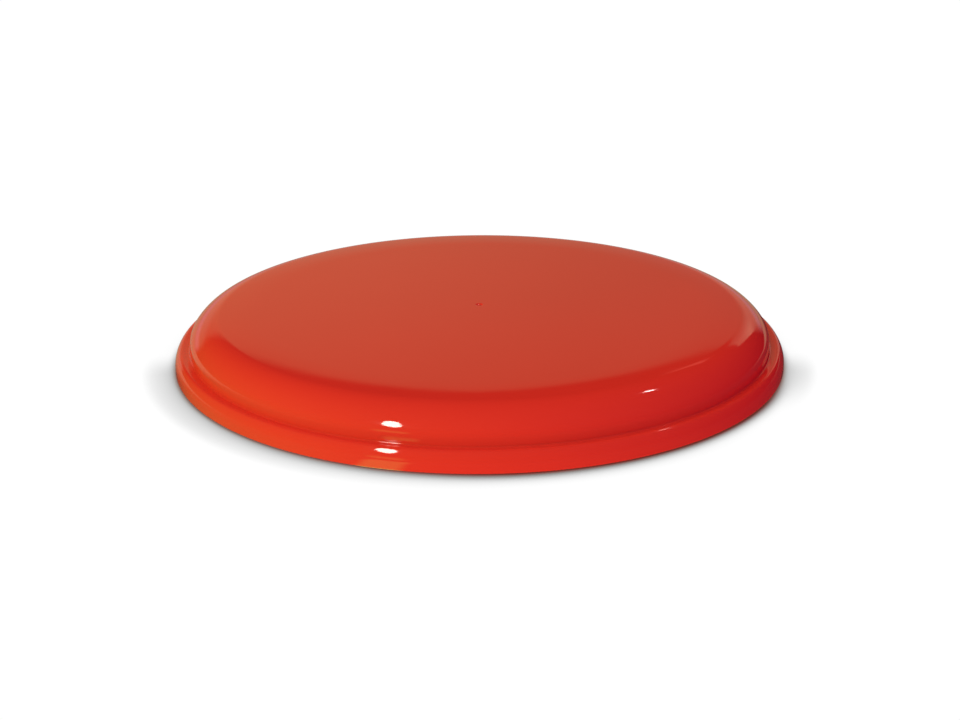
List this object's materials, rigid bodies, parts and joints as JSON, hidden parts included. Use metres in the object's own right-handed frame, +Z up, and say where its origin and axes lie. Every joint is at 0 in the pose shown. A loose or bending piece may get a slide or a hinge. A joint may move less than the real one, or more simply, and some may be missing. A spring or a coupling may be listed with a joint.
{
  "type": "flying disc",
  "caption": "Round throwing disc with a flat flight plate, a rounded shoulder, a narrow ledge and a short rounded grip rim, hollow underneath.",
  "frame": {"origin": "on the disc's axis, at the level of the rim's resting edge", "axes": "+Z up along the disc's axis, out of the flight plate; X and Y are equal, because the disc is a body of revolution"},
  "size_m": [0.22, 0.22, 0.0181],
  "materials": {
    "red_plastic": "polished injection-moulded polypropylene, orange-red"
  },
  "bodies": {
    "root": {"disc": "red_plastic"}
  },
  "joints": []
}
